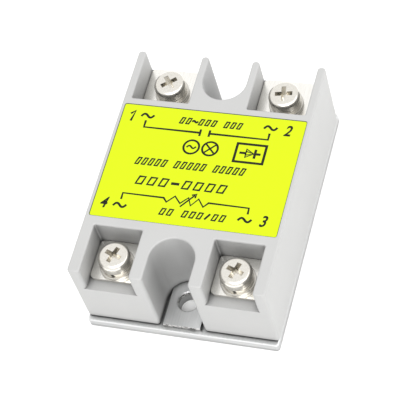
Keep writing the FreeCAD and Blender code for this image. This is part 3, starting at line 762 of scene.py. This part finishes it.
def row_of_signs(x0, x1, y0, y1, pattern, lean=0.5, width=0.5):
    """Open boxes in a row in place of lettering; blanks, waves, dashes and slashes stay."""
    pitch = (x1 - x0) / len(pattern)
    tall, mid = y1 - y0 - width, (y0 + y1) / 2
    made = []
    for number, sign in enumerate(pattern):
        x = x0 + (number + 0.5) * pitch
        if sign == "o":
            wide = pitch * 0.62 - width / 2
            made.append(slanted_box(x - lean / 2, mid, wide, tall, lean, width))
        elif sign == "~":
            made.append(wave(x, mid, pitch * 0.9, width))
        elif sign == "-":
            made.append(stroke([(x - pitch * 0.35, mid), (x + pitch * 0.35, mid)], width * 1.2))
        elif sign == "/":
            run = pitch * 0.3
            made.append(stroke([(x - run, mid - tall / 2), (x + run, mid + tall / 2)], width))
    return made


def contact_symbol():
    """Line from terminal 1 through an open contact to terminal 2."""
    return [stroke([(-15.5, 10.9), (-15.5, 9.08), (-2.05, 9.08)], 0.55),
            stroke([(-2.05, 8.2), (-2.05, 10.0)], 0.52), stroke([(0.12, 8.25), (0.12, 10.0)], 0.52),
            stroke([(0.12, 9.1), (13.8, 9.1), (13.8, 10.8)], 0.55)]


def variable_resistor_symbol():
    """Line from terminal 4 through an adjustable resistor to terminal 3."""
    zigzag = [(-15.4, -10.4), (-15.43, -8.75), (-5.81, -8.8), (-4.95, -9.8), (-3.33, -8.08),
              (-1.8, -9.75), (-0.2, -8.07), (0.71, -10.04), (2.15, -8.13), (3.62, -10.02),
              (4.6, -8.83), (13.86, -8.94), (13.94, -10.5)]
    return [stroke(zigzag, 0.5), stroke([(-1.57, -10.6), (1.15, -7.2)], 0.4),
            stroke([(0.35, -7.35), (1.41, -6.91), (1.25, -8.0)], 0.4)]


def circuit_symbols():
    """Plain circuit signs: a supply, a lamp as the load, and a framed rectifier block."""
    supply, lamp, across = (-3.1, 5.1), (1.3, 5.15), 1.27
    made = [circle(*supply, 1.8, 0.5), wave(*supply, 2.1, 0.42), circle(*lamp, 1.8, 0.5)]
    for lean in (-1, 1):
        made.append(stroke([(lamp[0] - across, lamp[1] - lean * across),
                            (lamp[0] + across, lamp[1] + lean * across)], 0.42))
    block = [(7.3, 2.6), (14.0, 2.6), (14.0, 7.4), (7.3, 7.4)]
    made += [stroke(block, 0.85, closed=True), stroke([(8.2, 5.0), (9.6, 5.0)], 0.6),
             stroke([(11.9, 5.0), (13.1, 5.0)], 0.6), stroke([(11.8, 3.8), (11.8, 6.2)], 0.6)]
    made += [stroke([(9.7, 5.0 - half), (9.7, 5.0 + half), (11.5, 5.0)], 0.5, closed=True)
             for half in (1.1, 0.5)]
    return made


def label_print(ink):
    """Everything printed on the face label, as one thin piece on its surface."""
    rows = (row_of_signs(-7.7, 7.3, 10.9, 12.9, "oo~ooo ooo")
            + row_of_signs(-15.0, 10.9, -1.04, 1.14, "ooooo ooooo ooooo", 0.6)
            + row_of_signs(-13.65, 8.0, -6.2, -3.7, "ooo-oooo", 0.6, 0.58)
            + row_of_signs(-6.0, 9.5, -13.3, -11.3, "oo ooo/oo"))
    number_one = stroke([(-19.55, 12.35), (-18.55, 13.25), (-19.1, 10.4)], 0.56)
    beside_numbers = ((-15.4, 12.2), (13.7, 12.25), (-15.3, -11.95), (13.6, -12.0))
    waves = [wave(x, y, 3.0) for x, y in beside_numbers]
    lines = contact_symbol() + variable_resistor_symbol() + circuit_symbols() + rows
    flat = join(lines + [number_one] + waves, "label_lines")
    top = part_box("face_label")[1].z
    flat.data.transform(Matrix.Translation((0, 0, top)) @ Matrix.Diagonal((1, 1, INK_SQUASH, 1)))
    signs = [digit("2", 17.7, 11.8), digit("4", -19.2, -11.8), digit("3", 17.7, -11.95)]
    signs = join(signs, "label_digits")
    signs.data.transform(Matrix.Translation((0, 0, top)))
    both = join([flat, signs], "label_print")
    settle(both, 40)
    place_on(both, "relay_body", "label_film", ink)


# ============================================================== circuit inside
def spun_body(node, name, waist):
    """Round body with a slimmer middle between its end caps, spun about its own axis."""
    low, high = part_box(node)
    centre, radius, half = (low + high) / 2, (high.z - low.z) / 2, (high.x - low.x) / 2
    bpy.ops.mesh.primitive_cylinder_add(vertices=40, radius=radius, depth=2 * half, location=centre,
                                        rotation=(0, math.pi / 2, 0))
    body = newest(name)
    settle(body)
    edit(body)
    pick(body, "EDGE", lambda e: abs(e.verts[0].co.x - e.verts[1].co.x) < SQUARE)  # the rims
    bpy.ops.mesh.bevel(offset=0.3 * radius, segments=4)
    pick(body, "EDGE", lambda e: abs(e.verts[0].co.x - e.verts[1].co.x) > half)    # the long sides
    bpy.ops.mesh.subdivide(number_cuts=9)
    pick(body, "VERT", lambda v: abs(v.co.x - centre.x) < 0.42 * half)
    bpy.ops.transform.resize(value=(1, waist, waist), center_override=centre)
    bpy.ops.object.mode_set(mode="OBJECT")
    return settle(body, 50)


def solder_joint(x, y, level, name):
    """A small hollow-sided cone of solder under the board."""
    middle_height = level - SOLDER_HEIGHT / 2
    bpy.ops.mesh.primitive_cone_add(vertices=20, radius1=0.95 * MM, radius2=0.38 * MM,
                                    depth=SOLDER_HEIGHT, location=(x, y, middle_height),
                                    rotation=(math.pi, 0, 0))
    joint = newest(name)
    settle(joint)
    edit(joint)
    pick(joint, "EDGE", lambda e: abs(e.verts[0].co.z - e.verts[1].co.z) > 0.5 * MM)
    bpy.ops.mesh.subdivide(number_cuts=3)
    pick(joint, "VERT", lambda v: level - 0.6 * MM < v.co.z < level - 0.1 * MM)
    bpy.ops.transform.resize(value=(0.82, 0.82, 1), center_override=(x, y, middle_height))
    bpy.ops.object.mode_set(mode="OBJECT")
    return joint


def solder_under_board(tin):
    """One joint for each wire lead that passes through the board."""
    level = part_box("circuit_board")[0].z
    places = []
    for node in sorted(frame["nodes"]):
        if node.endswith("_leads") and node != "triac_leads":
            low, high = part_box(node)
            y = (low.y + high.y) / 2
            places += [(low.x + LEAD_HALF, y), (high.x - LEAD_HALF, y)]
    joints = [solder_joint(x, y, level, "joint_%d" % k) for k, (x, y) in enumerate(places)]
    place_on(settle(join(joints, "board_solder_joints"), 40), "relay_body", "tinned_lead", tin)


def fit_inside(tin):
    """Bodies of the axial parts and the solder under the board."""
    gold = "#b08d2f"
    # node: (slot, ground, bands, roughness, waist as a share of the radius)
    axial = {
        "snubber_resistor": ("power_resistor_lacquer", "#5d666a",
                             ("#d9822b", "#d9822b", "#1a1a1a", gold), 0.55, 0.90),
        "gate_resistor": ("resistor_lacquer", "#cdb48d",
                          ("#7a3f1d", "#1a1a1a", "#b3261e", gold), 0.35, 0.84),
        "limit_resistor": ("resistor_lacquer", "#cdb48d",
                           ("#e3c51f", "#6a3d9a", "#d9822b", gold), 0.35, 0.84),
        "trigger_diac": ("diac_glass", "#2a5aa6", ("#14233c",), 0.12, 0.96),
    }
    for node, (slot, ground, bands, roughness, waist) in axial.items():
        low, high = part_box(node)
        lacquer = banded_lacquer(node + "_lacquer", ground, bands, roughness,
                                 (low.x + high.x) / 2, (high.x - low.x) / 6.5)
        place_on(spun_body(node, node + "_body", waist), "relay_body", slot, lacquer, node)
    solder_under_board(tin)


# ============================================================== finishes on the frame's own nodes
def dress_nodes(finish):
    """Materials of the nodes that keep their CAD shape."""
    wanted = {
        "base_plate": finish["plate"], "face_label": finish["label"],
        "thermal_pad": silicone_pad(), "triac_tab": tinned_copper_tab(),
        "triac_case": epoxy_moulding(), "triac_screw": fixing_screw_zinc(),
        "potting_compound": cast_resin(), "circuit_board": masked_laminate(),
        "snubber_capacitor": moulded_film_box(), "timing_capacitor": moulded_film_box_red(),
        "varistor": dipped_varistor(),
    }
    nut, wire = zinc_plated_steel(), tinned_wire()
    for node, obj in frame["nodes"].items():
        if node.startswith("terminal_nut"):
            wanted[node] = nut
        elif node.endswith("_leads"):
            wanted[node] = wire
        if node in wanted:
            obj.data.materials.clear()
            obj.data.materials.append(wanted[node])


# ============================================================== floor, light and camera
def studio():
    """Pale floor, white surroundings and two soft lamps."""
    bpy.ops.mesh.primitive_plane_add(size=4, location=(0, 0, -FLOOR_GAP))
    floor = newest("studio_floor")
    floor.data.materials.append(matt_floor())
    settle(floor)
    world = bpy.data.worlds.new("white_room")
    world.use_nodes = True
    background = world.node_tree.nodes["Background"]
    background.inputs["Color"].default_value = (1, 1, 1, 1)
    background.inputs["Strength"].default_value = ROOM_LIGHT
    bpy.context.scene.world = world
    bpy.context.scene.view_settings.view_transform = "Standard"
    for name, (place, size, power) in LAMPS.items():
        bpy.ops.object.light_add(type="AREA", location=place)
        lamp = bpy.context.object
        lamp.name = name
        lamp.data.size = size
        lamp.data.energy = power
        lamp.rotation_euler = (-Vector(place)).to_track_quat("-Z", "Y").to_euler()


def camera():
    """Close look from above the control end, with the body leaning in the frame."""
    bpy.ops.object.camera_add(location=EYE)
    eye = bpy.context.object
    eye.name = "catalogue_camera"
    level = Vector(EYE_FORWARD).to_track_quat("-Z", "Y").to_matrix()
    eye.rotation_euler = (level @ Matrix.Rotation(EYE_ROLL, 3, "Z")).to_euler()
    eye.data.lens = EYE_LENS
    eye.data.sensor_width = 36
    eye.data.clip_start = 0.01
    bpy.context.scene.camera = eye


# ============================================================== build
finishes = {
    "case": moulded_pbt(), "plate": rolled_aluminium(), "label": printed_polyester(),
    "bar": nickel_plated_brass(), "screw": nickel_plated_steel(), "washer": stamped_washer_steel(),
}
deselect()
dress_nodes(finishes)
case_shell(finishes["case"])
fit_terminals(finishes)
label_print(screen_ink())
fit_inside(solder_tin())
studio()
camera()
